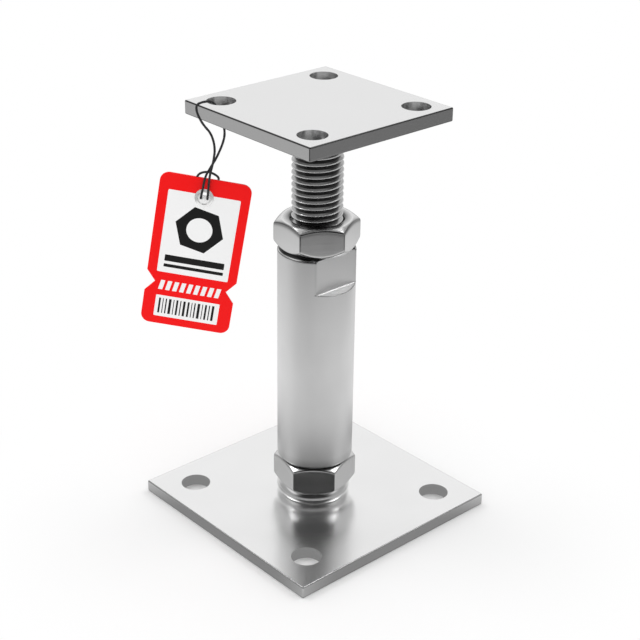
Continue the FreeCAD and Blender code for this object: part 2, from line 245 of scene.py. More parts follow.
# %% [markdown]
# The cord's surface is the first of these sheets. At each point of its line stands a ring, square to the
# line. Four yarns wind round the cord each way, and where two of them cross, the surface swells a little,
# which is the small diamond pattern of a braid. The rings would twist if each were set up alone, so each one
# is carried on from the ring before it.

# %% The braided cord
CORD_COLUMNS = 24
BRAID_YARNS = 4
BRAID_STEP = 3.2 * MM
BRAID_RELIEF = 0.05 * MM
FIRST_RING_HINT = (0.3, 0.2, 1.0)


def ring_directions(line):
    """Two directions square to the line at each point, turned as little as possible from the pair before."""
    along = np.gradient(line, axis=0)
    along /= np.linalg.norm(along, axis=1)[:, None]
    side = np.cross(along[0], FIRST_RING_HINT)
    sides = []
    for forward in along:
        side = side - forward * side.dot(forward)
        side = side / np.linalg.norm(side)
        sides.append(side)
    sides = np.array(sides)
    return sides, np.cross(along, sides)


def make_cord(name, line, runs, diameter):
    """p(i, a) = line(i) + r (side cos a + across sin a), r swollen where yarns wound both ways cross."""
    side, across = ring_directions(line)
    angle = 2 * np.pi * np.arange(CORD_COLUMNS) / CORD_COLUMNS
    travel = np.concatenate([[0], np.cumsum(runs)])[:, None] / BRAID_STEP * 2 * np.pi
    one_way = np.cos(BRAID_YARNS * angle[None, :] + travel)
    other_way = np.cos(BRAID_YARNS * angle[None, :] - travel)
    radius = diameter / 2 - BRAID_RELIEF * (0.5 - 0.25 * (one_way + other_way))
    ring = side[:, None, :] * np.cos(angle)[:, None] + across[:, None, :] * np.sin(angle)[:, None]
    points = (line[:, None, :] + radius[..., None] * ring).reshape(-1, 3)
    faces = ring_faces(len(line), CORD_COLUMNS).tolist()
    first = list(range(CORD_COLUMNS))
    last = [len(points) - CORD_COLUMNS + column for column in first]
    cord = add_piece(name, points, [*faces, first[::-1], last], "head")
    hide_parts("tag_cord")
    return cord


tag_cord = make_cord("hang_cord", cord_line, cord_runs, CORD_DIAMETER)

# %% [markdown]
# ## Threads
# A metric thread is a ridge whose two flanks stand 60 degrees apart, and it climbs one pitch a turn. Its
# surface has two parameters: how far round the rod, and the share of a pitch across the ridge. Each turn's
# last row is joined to the next turn's first, so the whole thread is one skin with no seam.

# %% The ridge of a thread
PITCH = 3 * MM
THREAD_DEPTH = 0.6134 * PITCH
THREAD_CREST_HALF = PITCH / 24
THREAD_FLANK_SLOPE = math.tan(math.radians(60))
THREAD_ROOT_SOFTNESS = 0.09 * MM
THREAD_COLUMNS = 72
HALF_RIDGE_ROWS = np.array([0, 0.03, 0.055, 0.09, 0.17, 0.26, 0.34, 0.40, 0.45])


def ridge_drop(share):
    """Depth below the crest at a share of the pitch: a flat crest, straight flanks and a round root."""
    across = np.abs((share + 0.5) % 1 - 0.5) * PITCH
    flank = np.maximum((across - THREAD_CREST_HALF) * THREAD_FLANK_SLOPE, 0)
    return soft_minimum([flank, THREAD_DEPTH], THREAD_ROOT_SOFTNESS)


def thread_faces(steps, count):
    """Four-sided faces along the ridge, with the last row of each turn joined to the first of the next."""
    first = np.arange(steps - THREAD_COLUMNS - 1)[:, None]
    share = np.arange(count)[None, :]
    above = np.where(share + 1 < count, first * count + share + 1, (first + THREAD_COLUMNS) * count)
    beside = (first + 1) * count + share
    across = np.where(share + 1 < count, beside + 1, (first + 1 + THREAD_COLUMNS) * count)
    return np.stack([first * count + share, beside, across, above], axis=-1).reshape(-1, 4)


print(f"ridge: {ridge_drop(np.array([0.5]))[0] / MM:.2f} mm high on a pitch of {PITCH / MM:.0f} mm")

# %% [markdown]
# Beyond the rod's ends the rows are pressed flat onto the end planes, and a rounded cone takes the thread
# down at the tip. A Screw modifier would wind the same ridge but leave its ends open. The lower thread has
# the other hand, so that turning the sleeve moves both rods at once.

# %% Threads
THREAD_TIP_CONE = 2 * MM
THREAD_TIP_SOFTNESS = 0.08 * MM
THREAD_CORE_SINK = 0.1 * MM
THREAD_SPARE_TURNS = 2
MERGE_DISTANCE = 0.002 * MM


def close_ends(piece):
    """Merges the points that were pressed together, drops loose ones and caps what is left open."""
    work = bmesh.new()
    work.from_mesh(piece.data)
    bmesh.ops.remove_doubles(work, verts=work.verts, dist=MERGE_DISTANCE)
    bmesh.ops.delete(work, geom=[v for v in work.verts if not v.link_faces], context="VERTS")
    bmesh.ops.holes_fill(work, edges=[e for e in work.edges if e.is_boundary], sides=0)
    bmesh.ops.recalc_face_normals(work, faces=work.faces)
    work.to_mesh(piece.data)
    work.free()


def make_thread(name, node, body, hand, tip_at_top):
    """p(a, s) = ((R - d(s)) cos a, (R - d(s)) sin a, z0 + pitch (s + hand a / 2 pi)), between the ends."""
    low, high, crest = bottom_of(node), top_of(node), radius_of(node)
    shares = np.concatenate([HALF_RIDGE_ROWS, [0.5], 1 - HALF_RIDGE_ROWS[:0:-1]])
    turns = int((high - low) / PITCH) + 2 * THREAD_SPARE_TURNS
    step = np.arange(turns * THREAD_COLUMNS)
    angle = hand * 2 * np.pi * step / THREAD_COLUMNS
    start = low - THREAD_SPARE_TURNS * PITCH
    height = start + PITCH * (step[:, None] / THREAD_COLUMNS + shares[None, :])
    radius = crest - ridge_drop(shares)[None, :]
    from_tip = (high - height) if tip_at_top else (height - low)
    cone = crest - THREAD_TIP_CONE + np.maximum(from_tip, 0)
    radius = soft_minimum([radius, cone], THREAD_TIP_SOFTNESS)
    outside = (height < low) | (height > high)
    radius = np.where(outside, crest - THREAD_DEPTH - THREAD_CORE_SINK, radius)
    height = np.clip(height, low, high)
    points = np.stack([radius * np.cos(angle)[:, None], radius * np.sin(angle)[:, None], height], axis=-1)
    faces = thread_faces(len(step), len(shares))
    if hand < 0:
        faces = faces[:, ::-1]
    piece = add_piece(name, points.reshape(-1, 3), faces, body)
    close_ends(piece)
    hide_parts(node)
    print(f"{name}: {(high - low) / PITCH:.0f} turns")
    return piece


upper_thread = make_thread("upper_thread", "upper_rod", "head", hand=1, tip_at_top=False)
lower_thread = make_thread("lower_thread", "lower_stud", "base", hand=-1, tip_at_top=True)

# %% [markdown]
# ## Lock nuts
# A thin hexagon nut is a slice of hexagon bar whose corners were turned off by a flat cone at each face, and
# by a steeper one under the upper nut, which leaves a curved bright arc above each side. Its outside is the
# smaller of two distances at every angle and height, the flat's and the cone's, and a soft minimum rounds the
# crease between them. Each point also keeps a share of painted shade, on the creases and in the mouth, for
# the nut's material to read.

# %% Lock nuts
NUT_FLATS = 35.5 * MM
NUT_FACE_RADIUS = 17.2 * MM
NUT_CORNER_RADIUS = 20.2 * MM
NUT_CORNER_DROP = 1.75 * MM
UPPER_NUT_SEAT_DROP = 3 * MM
NUT_MOUTH_RADIUS = 13.25 * MM
NUT_BORE_RADIUS = 12.05 * MM
NUT_COUNTERSINK = 1.6 * MM
NUT_RIM = 0.3 * MM
NUT_CORNER_SOFTNESS = 0.20 * MM
NUT_LOWER_SOFTNESS = 0.25 * MM
NUT_WIDE_CREASE = 0.60 * MM
# Painted shade on the vertical corners and in the mouth, from the bore out over the face.
NUT_CORNER_SHADE = 0.6
NUT_MOUTH_SHADE = [1, 1, 0.8, 0]
NUT_END_BAND = 4.2 * MM
NUT_BAND_ROWS = 26
NUT_COLUMNS = 360
NO_SOFTNESS = 0.001 * MM
LEAST_COSINE = 0.05


def hexagon_radius(angle, flats, softness):
    """Distance from the axis to a hexagon's side: half the width over flats over the cosine to its normal."""
    sides = []
    for side in range(6):
        facing = np.cos(angle - side * np.pi / 3)
        sides.append(flats / 2 / np.maximum(facing, LEAST_COSINE))
    return soft_minimum(sides, softness)


def make_nut(name, node, body, turn_degrees, lower_drop, top_roundness):
    """r(a, z) = soft minimum of the hexagon at angle a and the chamfer cones at height z, closed by a bore.

    The painted shade attribute is 1 on a rounded edge and in the mouth, 0 on a face, and less on a sharper
    nut.
    """
    low, high = bottom_of(node), top_of(node)
    angle = 2 * np.pi * np.arange(NUT_COLUMNS) / NUT_COLUMNS - math.radians(turn_degrees)
    share = np.linspace(0, 1, NUT_BAND_ROWS)
    height = np.concatenate([low + share * NUT_END_BAND, high - share[::-1] * NUT_END_BAND])
    widening = NUT_CORNER_RADIUS - NUT_FACE_RADIUS
    lower_cone = NUT_FACE_RADIUS + widening * (height - low) / lower_drop
    upper_cone = NUT_FACE_RADIUS + widening * (high - height) / NUT_CORNER_DROP
    cone = np.minimum(lower_cone, upper_cone)[:, None]
    hexagon = hexagon_radius(angle, NUT_FLATS, NUT_CORNER_SOFTNESS)
    softness = np.where(height > (low + high) / 2, top_roundness, NUT_LOWER_SOFTNESS)[:, None]
    sides = [hexagon[None, :], cone]
    wall = soft_minimum(sides, softness)
    corner_drop = hexagon_radius(angle, NUT_FLATS, NO_SOFTNESS) - hexagon
    corner = np.clip(corner_drop / (NUT_CORNER_SOFTNESS * math.log(2)), 0, 1)
    # Painted shade on the rounded creases and the vertical corners, less on the sharper lower nut.
    crease_shade = np.maximum(crease_share(sides, softness), NUT_CORNER_SHADE * corner * (hexagon < cone))
    crease_shade *= min(1, top_roundness / NUT_WIDE_CREASE)
    lower = [
        (NUT_BORE_RADIUS, low + NUT_COUNTERSINK), (NUT_MOUTH_RADIUS - NUT_RIM / 3, low + NUT_RIM / 3),
        (NUT_MOUTH_RADIUS + NUT_RIM, low), (NUT_FACE_RADIUS - 3 * NUT_RIM, low),
    ]
    level = np.ones((1, NUT_COLUMNS))
    radius = [r * level for r, z in lower] + [wall] + [r * level for r, z in lower[::-1]]
    heights = [z for r, z in lower] + list(height) + [low + high - z for r, z in lower[::-1]]
    points = around_axis(np.concatenate(radius), np.array(heights)[:, None])
    faces = ring_faces(len(heights), NUT_COLUMNS, closed_rows=True)
    piece = add_piece(name, points, faces, body)
    # Painted shade in the mouth: full at the bore, fading out over the face.
    mouth = np.array(NUT_MOUTH_SHADE)[:, None] * level
    store_on_points(piece, "crease_shade", np.concatenate([mouth, crease_shade, mouth[::-1]]))
    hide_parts(node)
    return piece


lower_nut = make_nut(
    "lower_nut_dressed", "lower_lock_nut", "lower_nut",
    turn_degrees=17.6, lower_drop=NUT_CORNER_DROP, top_roundness=0.28 * MM,
)
upper_nut = make_nut(
    "upper_nut_dressed", "upper_lock_nut", "upper_nut",
    turn_degrees=26.0, lower_drop=UPPER_NUT_SEAT_DROP, top_roundness=NUT_WIDE_CREASE,
)

# %% [markdown]
# ## The sleeve
# The sleeve is turned from bar, bored and threaded, and two flats are milled across its upper end for a
# wrench. At a height above the milled ledge the flat holds the surface in, and below it the full round
# returns over a short slope with a hollow at its top, so the ledge is a half moon. The radius is again a soft
# minimum, of the round, the flats and the chamfers at the ends.

# %% The sleeve's sizes and rows
SLEEVE_FLATS = 27 * MM
SLEEVE_FLAT_HEIGHT = 18 * MM
SLEEVE_LEDGE_FALL = 0.8 * MM
SLEEVE_EDGE = 1.5 * MM
SLEEVE_MOUTH = 1 * MM
SLEEVE_BORE_RADIUS = 12.05 * MM
SLEEVE_FACE_INSET = 0.6 * MM
SLEEVE_FLAT_INSET = 0.5 * MM
SLEEVE_SOFTNESS = 0.15 * MM
SLEEVE_RIM_SOFTNESS = 0.1 * MM
SLEEVE_HOLLOW = 0.3 * MM
SLEEVE_COLUMNS = 288


def sleeve_heights(low, high, ledge):
    """Rows that crowd together where the outline turns: both chamfers and the ledge."""
    foot = low + np.linspace(0, 3 * MM, 16)
    below = np.concatenate([low + np.array([4, 5, 6]) * MM, np.linspace(low + 9 * MM, ledge - 3 * MM, 12)])
    step = ledge + np.linspace(-1.6 * MM, 0.8 * MM, 40)
    above = np.linspace(ledge + 2 * MM, high - 4 * MM, 6)
    head = high - np.linspace(0, 3 * MM, 16)[::-1]
    return np.concatenate([foot, below, step, above, head])


sleeve_low, sleeve_high = bottom_of("adjusting_sleeve"), top_of("adjusting_sleeve")
sleeve_ledge = sleeve_high - SLEEVE_FLAT_HEIGHT
sleeve_rows = sleeve_heights(sleeve_low, sleeve_high, sleeve_ledge)
print(f"sleeve: {len(sleeve_rows)} rows, ledge at {sleeve_ledge / MM:.1f} mm")

# %% [markdown]
# The sleeve's tones are uneven. Its creases, its ends and its foot get painted shade, darker than the satin
# round, and the hollow over the ledge and a narrow rim by each end get a painted highlight; both also make
# the surface glossier. An image would have to be unwrapped and fitted, so each point keeps two numbers
# instead, worked out from the same distances as its shape.

# %% The sleeve with its painted shade and highlight
# Painted shade at the ends, the creases and the foot; painted highlight at the rims and the hollow.
SHADED_END = 1.15 * MM
BRIGHT_RIM = 1.3 * MM
RIM_FADE = 0.2 * MM
BRIGHT_HOLLOW = 0.45 * MM
FLAT_CREASE = 0.3
FLAT_CREASE_START = 0.4 * MM
FLAT_CREASE_STOP = 2 * MM
FOOT_SHADE_START = 1.2
FOOT_SHADE_SPANS = [(0.17, 28 * MM), (0.25, 5 * MM)]


def sleeve_marks(height, low, high, ledge, reach, sides):
    """Painted shade is the largest of the crease, end and foot shares, and painted highlight that of the
    hollow and the rims.
    """
    flat, _, outside = sides
    end_distance = np.minimum(height - low, high - height)[:, None]
    end = np.clip((SHADED_END - end_distance) / RIM_FADE, 0, 1)
    rise = (height - low)[:, None]
    foot_shade = sum(share * np.clip(FOOT_SHADE_START - rise / span, 0, 1) for share, span in FOOT_SHADE_SPANS)
    on_flat = (height > ledge + FLAT_CREASE_START) & (height < high - FLAT_CREASE_STOP)
    creases = crease_share(sides, SLEEVE_SOFTNESS) * np.where(on_flat, FLAT_CREASE, 1)[:, None]
    at_hollow = np.exp(-((reach[:, None] / BRIGHT_HOLLOW) ** 2)) * (flat < outside)
    at_rim = np.clip(1 - np.abs(end_distance - BRIGHT_RIM) / RIM_FADE, 0, 1)
    return np.maximum(creases, np.maximum(end, foot_shade)), np.maximum(at_hollow, at_rim)


def make_sleeve(name, node, body, height, low, high, ledge):
    """r(a, z) = soft minimum of the round, the flats over the cosine of a, and the end chamfers.

    Under the ledge the flats stand out by w log(1 + e^(x / w)), with x the straight slope and w the hollow.
    """
    outside = radius_of(node)
    angle = 2 * np.pi * np.arange(SLEEVE_COLUMNS) / SLEEVE_COLUMNS
    sideways = np.maximum(np.abs(np.cos(angle)), LEAST_COSINE)
    reach = (outside - SLEEVE_FLATS / 2) * (ledge - height) / SLEEVE_LEDGE_FALL
    hollow = SLEEVE_HOLLOW * np.logaddexp(0, reach / SLEEVE_HOLLOW)
    flat = (SLEEVE_FLATS / 2 + hollow)[:, None] / sideways[None, :]
    chamfer = outside - SLEEVE_EDGE + np.minimum(height - low, high - height)[:, None]
    sides = [flat, chamfer, np.full((1, 1), outside)]
    wall = soft_minimum(sides, SLEEVE_SOFTNESS)
    rim = outside - SLEEVE_EDGE - SLEEVE_FACE_INSET
    flat_rim = soft_minimum([SLEEVE_FLATS / 2 / sideways - SLEEVE_FLAT_INSET, rim], SLEEVE_RIM_SOFTNESS)
    bore, mouth = SLEEVE_BORE_RADIUS, SLEEVE_BORE_RADIUS + SLEEVE_MOUTH
    level = np.ones((1, SLEEVE_COLUMNS))
    upper_mouth = np.minimum(mouth, flat_rim - SLEEVE_RIM_SOFTNESS)
    radius = [bore * level, mouth * level, rim * level, wall]
    radius += [flat_rim[None, :], upper_mouth[None, :], bore * level]
    heights = [low + SLEEVE_MOUTH, low, low, *height, high, high, high - SLEEVE_MOUTH]
    points = around_axis(np.concatenate(radius), np.array(heights)[:, None])
    faces = ring_faces(len(heights), SLEEVE_COLUMNS, closed_rows=True)
    piece = add_piece(name, points, faces, body)
    sleeve_shade, sleeve_highlight = sleeve_marks(height, low, high, ledge, reach, sides)
    # Painted shade on the end faces and in the bore, with no painted highlight there.
    ends = np.ones((3, SLEEVE_COLUMNS))
    store_on_points(piece, "sleeve_shade", np.concatenate([ends, sleeve_shade, ends]))
    store_on_points(piece, "sleeve_highlight", np.concatenate([0 * ends, sleeve_highlight, 0 * ends]))
    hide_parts(node)
    return piece


sleeve = make_sleeve(
    "sleeve_dressed", "adjusting_sleeve", "sleeve", sleeve_rows, sleeve_low, sleeve_high, sleeve_ledge,
)

# %% [markdown]
# ## The weld
# A bead of weld joins the lower rod to the base plate. It was laid by hand and then brushed, so it is a
# smooth ring that is fatter on one side. Its radius is a foot and a bulge over it: the bulge follows an arc
# over the height, and three slow waves round the ring make it uneven. A torus would be even all round.

# %% The weld
WELD_FOOT_RADIUS = 15.6 * MM
WELD_BULGE = 2.7 * MM
WELD_FAT_SIDE = math.radians(-132)
WELD_ROOT_SINK = 0.5 * MM
WELD_ROWS = 22
WELD_COLUMNS = 180


def make_weld(name, node, body):
    """r(a, t) = foot + (bulge + waves of a) sin(pi (0.10 + 0.84 t))^0.8, t from the plate to the top."""
    low, high = bottom_of(node), top_of(node)
    angle = 2 * np.pi * np.arange(WELD_COLUMNS) / WELD_COLUMNS
    wave = 0.6 * np.cos(angle - WELD_FAT_SIDE) + 0.2 * np.cos(2 * angle + 0.7) + 0.08 * np.cos(5 * angle)
    share = np.linspace(0, 1, WELD_ROWS)
    over = np.sin(np.pi * (0.10 + 0.84 * share)) ** 0.8
    radius = WELD_FOOT_RADIUS + (WELD_BULGE + wave[None, :] * MM) * over[:, None]
    height = low + (high - low) * share
    core = np.full((1, WELD_COLUMNS), radius_of("lower_stud") - WELD_ROOT_SINK)
    points = around_axis(np.concatenate([core, radius, core]), np.array([low, *height, high])[:, None])
    faces = ring_faces(WELD_ROWS + 2, WELD_COLUMNS, closed_rows=True)
    piece = add_piece(name, points, faces, body)
    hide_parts(node)
    return piece


weld = make_weld("weld_bead", "stud_weld", "base")

# %% [markdown]
# ## The print on the tag
# The card is printed in white and black. Each printed field is a very thin slab that lies on the card's
# front, cut to its outline. The outlines are drawn in the tag's own flat frame, across and down from its
# top left corner, and one function stands them up and tilts them as the card hangs.

# %% The tag's own frame
TAG_FACING = math.radians(48)
TAG_TILT = math.radians(9.6)
TAG_WIDTH = 42 * MM
TAG_EYELET_DROP = 9.5 * MM
TAG_THICKNESS = 0.8 * MM
eyelet_low, eyelet_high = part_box("tag_eyelet")
TAG_EYELET = (Vector(eyelet_low) + Vector(eyelet_high)) / 2
tag_turn = Euler((math.pi / 2, 0, TAG_FACING)).to_matrix() @ Euler((0, 0, -TAG_TILT)).to_matrix()
tag_across, tag_upward, tag_outward = (np.array(tag_turn.col[i]) for i in range(3))


def on_tag(across, down, out):
    """A place on the tag, from its top left corner and its front face, in the object's frame."""
    across = np.asarray(across) - TAG_WIDTH / 2
    upward = TAG_EYELET_DROP - np.asarray(down)
    out = np.asarray(out) + TAG_THICKNESS / 2
    place = across[..., None] * tag_across + upward[..., None] * tag_upward + out[..., None] * tag_outward
    return place + np.array(TAG_EYELET)


print("eyelet at", [round(v / MM, 1) for v in TAG_EYELET])

# %% [markdown]
# A printed field could be an image on the card, but its edges would blur close up. So each one is a closed
# slab a twentieth of a millimetre thick: a white panel, a smaller one for the bars, and a row of slanted
# dashes.

# %% Printed fields
INK = 0.05 * MM
DASH_TOP, DASH_BOTTOM = 53.4, 58.2


def rounded_box(left, top, right, bottom, radius, steps=6):
    """Outline of a box with quarter circles at its corners, in millimetres, clockwise from the top left."""
    quarter = np.linspace(0, np.pi / 2, steps)
    outline = []
    for centre_x, centre_y, start in (
        (left + radius, top + radius, np.pi), (right - radius, top + radius, 1.5 * np.pi),
        (right - radius, bottom - radius, 0), (left + radius, bottom - radius, 0.5 * np.pi),
    ):
        turned = quarter + start
        corner = np.stack([centre_x + radius * np.cos(turned), centre_y + radius * np.sin(turned)], axis=-1)
        outline.append(corner)
    return np.concatenate(outline)


def polygon(centre_x, centre_y, radius, sides, start=0.0):
    """Corners of a regular polygon, in millimetres."""
    turned = start + 2 * np.pi * np.arange(sides) / sides
    return np.stack([centre_x + radius * np.cos(turned), centre_y + radius * np.sin(turned)], axis=-1)


def print_fields(name, outlines, base, height):
    """Thin slabs on the tag's face: each outline at two heights, with its sides and both faces closed."""
    points, faces = [], []
    for outline in outlines:
        count = len(outline)
        first = sum(len(p) for p in points)
        across, down = outline[:, 0] * MM, outline[:, 1] * MM
        points += [on_tag(across, down, base + 0 * across), on_tag(across, down, base + height + 0 * across)]
        ring = np.arange(count)
        after = (ring + 1) % count
        sides = np.stack([ring, ring + count, after + count, after], axis=-1) + first
        faces += [list(first + ring), list(first + count + ring[::-1]), *sides.tolist()]
    return add_piece(name, np.concatenate(points), faces, "head", smooth=False)


def slanted_dash(left):
    """Corners of a dash 2 mm wide that leans to the right, in millimetres."""
    top, bottom = DASH_TOP, DASH_BOTTOM
    return np.array([(left + 0.9, top), (left + 2.9, top), (left + 2.0, bottom), (left, bottom)])


white_fields = [rounded_box(4.5, 8.0, 37.7, 49.2, 0.6), rounded_box(5.8, 61.2, 35.9, 72.1, 0.5)]
white_fields += [slanted_dash(6.2 + index * 3.3) for index in range(9)]
tag_white = print_fields("tag_white_print", white_fields, 0, INK)

# %% [markdown]
# The black fields are a hexagon nut seen from above, as a plain sign for hardware, two rules under it, and a
# row of upright bars on the small panel. They lie a little higher than the white, so that neither flickers.

# %% Black fields
SIGN_CENTRE = (21.1, 25.6)
BAR_TOP, BAR_BOTTOM, BAR_GAP = 62.6, 70.4, 0.95
BAR_WIDTHS = [0.9, 0.4, 0.6, 1.2, 0.4, 0.9, 0.5, 1.1] * 2

nut_sign = polygon(*SIGN_CENTRE, 11.6, 6, math.radians(12))
nut_hole = polygon(*SIGN_CENTRE, 6.0, 48)
rules = [rounded_box(7.2, 40.2, 35.0, 43.4, 0.3), rounded_box(7.2, 44.8, 35.0, 46.4, 0.3)]
bars = []
left = 7.4
for width in BAR_WIDTHS:
    bars.append(rounded_box(left, BAR_TOP, left + width, BAR_BOTTOM, 0.05, steps=2))
    left += width + BAR_GAP
tag_black = print_fields("tag_black_print", [nut_sign, *rules, *bars], INK, 0.4 * INK)
tag_nut_hole = print_fields("tag_sign_hole", [nut_hole], 1.4 * INK, 0.2 * INK)

# %% [markdown]
# ## Materials
# Metal has no colour of its own under the shine: its base colour is how strongly it mirrors, and its
# roughness is how much it blurs what it mirrors. What tells one steel finish from another is the direction
# of its scratches, so each finish stretches a noise pattern along the way the tool moved.

# %% Shader helpers
def shader_of(material):
    """The Principled shader of a material."""
    return material.node_tree.nodes["Principled BSDF"]


def new_material(name, colour=(0.8, 0.8, 0.8), metallic=0.0):
    """A material with one Principled shader of a colour."""
    material = bpy.data.materials.new(name)
    material.use_nodes = True
    shader = shader_of(material)
    shader.inputs["Base Color"].default_value = (*colour, 1)
    shader.inputs["Metallic"].default_value = metallic
    return material


def add_node(tree, kind, **inputs):
    """A node of a kind, with values for some of its inputs."""
    node = tree.nodes.new(kind)
    for name, value in inputs.items():
        node.inputs[name.replace("_", " ")].default_value = value
    return node


def stretched_noise(tree, scale, detail=4.0, roughness=0.6):
    """Noise in the object's own metres, stretched by a scale for each axis."""
    place = tree.nodes.new("ShaderNodeTexCoord")
    mapping = add_node(tree, "ShaderNodeMapping", Scale=scale)
    noise = add_node(tree, "ShaderNodeTexNoise", Scale=1.0, Detail=detail, Roughness=roughness)
    tree.links.new(place.outputs["Object"], mapping.inputs["Vector"])
    tree.links.new(mapping.outputs["Vector"], noise.inputs["Vector"])
    return noise.outputs["Fac"]


def spread(tree, value, low, high):
    """Maps a noise value from its middle range to low and high."""
    node = add_node(tree, "ShaderNodeMapRange", From_Min=0.3, From_Max=0.7, To_Min=low, To_Max=high)
    tree.links.new(value, node.inputs["Value"])
    return node.outputs["Result"]


def smooth_step(tree, value, low, high, at_low=0.0, at_high=1.0):
    """A value that passes smoothly from one level to another while its input passes from low to high."""
    step = add_node(tree, "ShaderNodeMapRange", From_Min=low, From_Max=high, To_Min=at_low, To_Max=at_high)
    step.interpolation_type = "SMOOTHSTEP"
    tree.links.new(value, step.inputs["Value"])
    return step.outputs["Result"]


def blend_tones(tree, share, tone, other):
    """A tone that turns into another by a share. Either may be a number or a node's output."""
    mix = tree.nodes.new("ShaderNodeMix")
    for socket, value in ((mix.inputs["A"], tone), (mix.inputs["B"], other)):
        if isinstance(value, float):
            socket.default_value = value
        else:
            tree.links.new(value, socket)
    tree.links.new(share, mix.inputs["Factor"])
    return mix.outputs["Result"]


def vector_value(tree, operation, vector, other=None):
    """One vector operation, such as LENGTH, or a DOT_PRODUCT with a fixed direction or another vector."""
    node = tree.nodes.new("ShaderNodeVectorMath")
    node.operation = operation
    tree.links.new(vector, node.inputs[0])
    if isinstance(other, tuple):
        node.inputs[1].default_value = other
    elif other is not None:
        tree.links.new(other, node.inputs[1])
    return node.outputs["Value"] if operation in ("LENGTH", "DOT_PRODUCT") else node.outputs["Vector"]


def combine(tree, operation, first, second):
    """The sum or the product of two values."""
    node = tree.nodes.new("ShaderNodeMath")
    node.operation = operation
    tree.links.new(first, node.inputs[0])
    tree.links.new(second, node.inputs[1])
    return node.outputs[0]


def roughen(tree, shader, value, strength, distance):
    """Turns a value into fine relief on the shader's normal."""
    bump = add_node(tree, "ShaderNodeBump", Strength=strength, Distance=distance)
    tree.links.new(value, bump.inputs["Height"])
    tree.links.new(bump.outputs["Normal"], shader.inputs["Normal"])


def dress(target, material):
    """Gives an object one material in every slot."""
    mesh = target.data
    mesh.materials.clear()
    mesh.materials.append(material)


print("shader helpers ready")

# %% [markdown]
# The plates are cut from rolled sheet and polished. The polish leaves very fine straight lines and broad,
# faint clouds where the sheet is a little duller. The rounded edges get a darker tone, which is a painted
# dark reflection. They could be a second material, but then each plate would be split. The surface's own
# slope tells them instead: the normal's level part times its upright part is 0 on a face and on a side, and
# 0.5 halfway round an edge. The base plate's copy of the steel is painted brighter than the head plate's.

# %% Polished plate steel
LEVEL, UPRIGHT = (1, 1, 0), (0, 0, 1)
SCRATCH_DEPTH = 0.02 * MM
PLATE_GRAIN, PLATE_CLOUDS = (90, 5200, 5200), ((28, 28, 28), 2.0)
EDGE_SLOPE = 0.40


def part_length(tree, vector, axes):
    """Length of a vector's level part or of its upright part."""
    return vector_value(tree, "LENGTH", vector_value(tree, "MULTIPLY", vector, axes))


def scratched_metal(name, colour, scratches, clouds, fine, rough, relief):
    """Metal whose roughness is broad clouds plus fine scratches, with the relief of the scratches."""
    material = new_material(name, colour, metallic=1.0)
    tree, shader = material.node_tree, shader_of(material)
    lines, broad = stretched_noise(tree, scratches), stretched_noise(tree, *clouds)
    lines_rough, broad_rough = spread(tree, lines, -fine, fine), spread(tree, broad, *rough)
    tree.links.new(combine(tree, "ADD", lines_rough, broad_rough), shader.inputs["Roughness"])
    roughen(tree, shader, lines, relief, SCRATCH_DEPTH)
    return material


def plate_steel(name, tone, painted_tone, rough):
    """Polished sheet with a painted darker tone, a painted reflection, at the rounded edges."""
    material = scratched_metal(
        name, (tone, tone, tone), PLATE_GRAIN, PLATE_CLOUDS, fine=0.01, rough=rough, relief=0.015,
    )
    tree = material.node_tree
    normal = tree.nodes.new("ShaderNodeTexCoord").outputs["Normal"]
    level, upright = (part_length(tree, normal, axes) for axes in (LEVEL, UPRIGHT))
    slope = combine(tree, "MULTIPLY", level, upright)
    # Painted reflection: the tone darkens from the face towards the middle of a rounded edge.
    edged = smooth_step(tree, slope, 0.0, EDGE_SLOPE, tone, painted_tone)
    tree.links.new(edged, shader_of(material).inputs["Base Color"])
    return material


# One steel in two copies: painted brighter on the base plate, with darker painted edges on the head plate.
base_steel = plate_steel("base_plate_steel", tone=1.0, painted_tone=0.40, rough=(0.20, 0.26))
head_steel = plate_steel("head_plate_steel", tone=0.91, painted_tone=0.05, rough=(0.18, 0.24))
dress(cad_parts["base_plate"], base_steel)
dress(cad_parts["head_plate"], head_steel)
print("plates dressed")

# %% [markdown]
# The sleeve and nuts were turned in a lathe, so their scratches run round the axis. Noise that changes
# quickly with height and hardly at all across gives rings. The sleeve is satin and the nuts are brighter, and
# the numbers kept on their points give their creases and ends painted shade, the sleeve's rims and hollow a
# painted highlight, and each of these a roughness of their own. The lower nut's copy of the steel is painted
# darker than the upper nut's.

# %% Turned steel
TURNED_RINGS, TURNED_CLOUDS = (20, 20, 5200), ((60, 60, 35), 3.0)


def turned_steel(name, tone, rough, relief):
    """Steel from the lathe: fine rings over broad clouds."""
    colour = (tone, tone, tone)
    return scratched_metal(name, colour, TURNED_RINGS, TURNED_CLOUDS, fine=0.03, rough=rough, relief=relief)


def at_edges(material, attribute, painted_tone, edge_roughness):
    """Gives a turned piece a painted tone, dark for painted shade and bright for a painted highlight, and
    another roughness where an attribute of its points is 1.
    """
    tree, shader = material.node_tree, shader_of(material)
    edge = tree.nodes.new("ShaderNodeAttribute")
    edge.attribute_name = attribute
    share = edge.outputs["Fac"]
    turned = shader.inputs["Roughness"].links[0].from_socket
    tree.links.new(blend_tones(tree, share, turned, edge_roughness), shader.inputs["Roughness"])
    colour = shader.inputs["Base Color"]
    tone = colour.links[0].from_socket if colour.is_linked else colour.default_value[0]
    tree.links.new(blend_tones(tree, share, tone, painted_tone), colour)
    return material


satin = turned_steel("satin_turned_steel", tone=0.86, rough=(0.42, 0.48), relief=0.12)
# Painted shade and a painted highlight on the sleeve, from its two attributes.
at_edges(satin, "sleeve_shade", painted_tone=0.03, edge_roughness=0.16)
at_edges(satin, "sleeve_highlight", painted_tone=1.0, edge_roughness=0.12)
dress(sleeve, satin)
